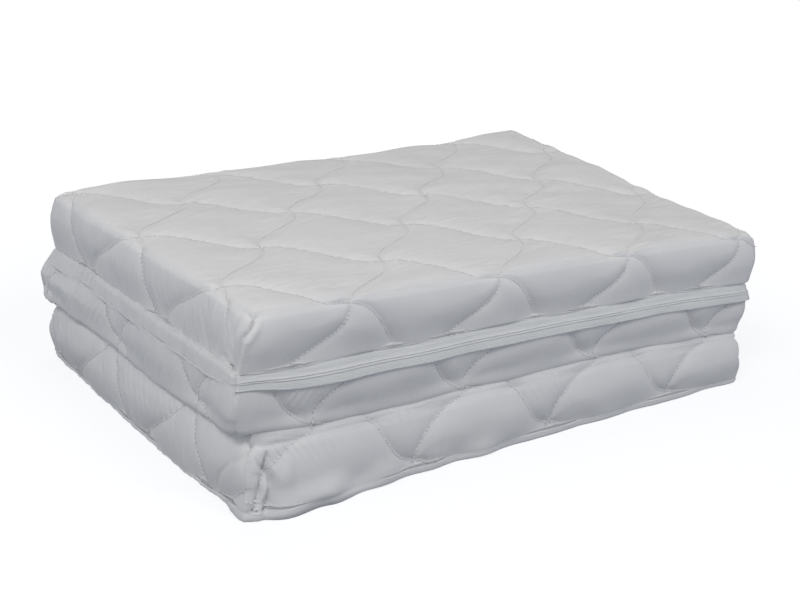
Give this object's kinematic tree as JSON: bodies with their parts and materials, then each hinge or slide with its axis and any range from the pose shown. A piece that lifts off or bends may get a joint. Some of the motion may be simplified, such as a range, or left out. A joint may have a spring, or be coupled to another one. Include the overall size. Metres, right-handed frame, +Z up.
{
  "type": "folding mattress",
  "caption": "Quilted cot mattress of three foam panels that fold in a Z on cloth hinges into a flat stack, with a concealed zip round one edge of the middle panel",
  "frame": {"origin": "on the ground below the middle of the folded stack", "axes": "+X along the panels' long side, +Y from the front towards the back where the lower hinge is, +Z up through the stack"},
  "size_m": [0.6129, 0.4148, 0.1807],
  "materials": {
    "quilted_cloth": "fine knitted polyester, quilted over wadding",
    "base_cloth": "fine knitted polyester",
    "foam": "open-cell polyurethane foam",
    "hinge_cloth": "woven polyester",
    "zip_tape": "woven zip tape",
    "zip_coil": "nylon coil",
    "zip_metal": "plated zinc"
  },
  "bodies": {
    "bottom_panel": {"bottom_foam_core": "foam", "bottom_quilted_cover": "quilted_cloth", "bottom_base_cloth": "base_cloth", "lower_hinge_strip": "hinge_cloth"},
    "middle_panel": {"middle_foam_core": "foam", "middle_quilted_cover": "quilted_cloth", "middle_base_cloth": "base_cloth", "upper_hinge_strip": "hinge_cloth", "zip_upper_tape": "zip_tape", "zip_lower_tape": "zip_tape", "zip_upper_coil": "zip_coil", "zip_lower_coil": "zip_coil"},
    "top_panel": {"top_foam_core": "foam", "top_quilted_cover": "quilted_cloth", "top_base_cloth": "base_cloth"},
    "zip_slider": {"zip_slider": "zip_metal"},
    "zip_pull": {"zip_pull": "zip_metal"}
  },
  "joints": [
    {"name": "lower_fold", "type": "hinge", "parent": "bottom_panel", "child": "middle_panel", "pos_m": [0, 0.20835, 0.0602], "axis": [-1, 0, 0], "range_deg": [0, 180], "deforming": ["lower_hinge_strip"]},
    {"name": "upper_fold", "type": "hinge", "parent": "middle_panel", "child": "top_panel", "pos_m": [0, -0.20335, 0.1206], "axis": [1, 0, 0], "range_deg": [0, 180], "deforming": ["upper_hinge_strip"]},
    {"name": "slider_travel", "type": "slide", "parent": "middle_panel", "child": "zip_slider", "axis": [0, -1, 0], "range_m": [0, 0.295]},
    {"name": "pull_tilt", "type": "hinge", "parent": "zip_slider", "child": "zip_pull", "pos_m": [0.30025, 0.13585, 0.1106], "axis": [-0.412, 0, 0.9112], "range_deg": [0, 170]}
  ]
}
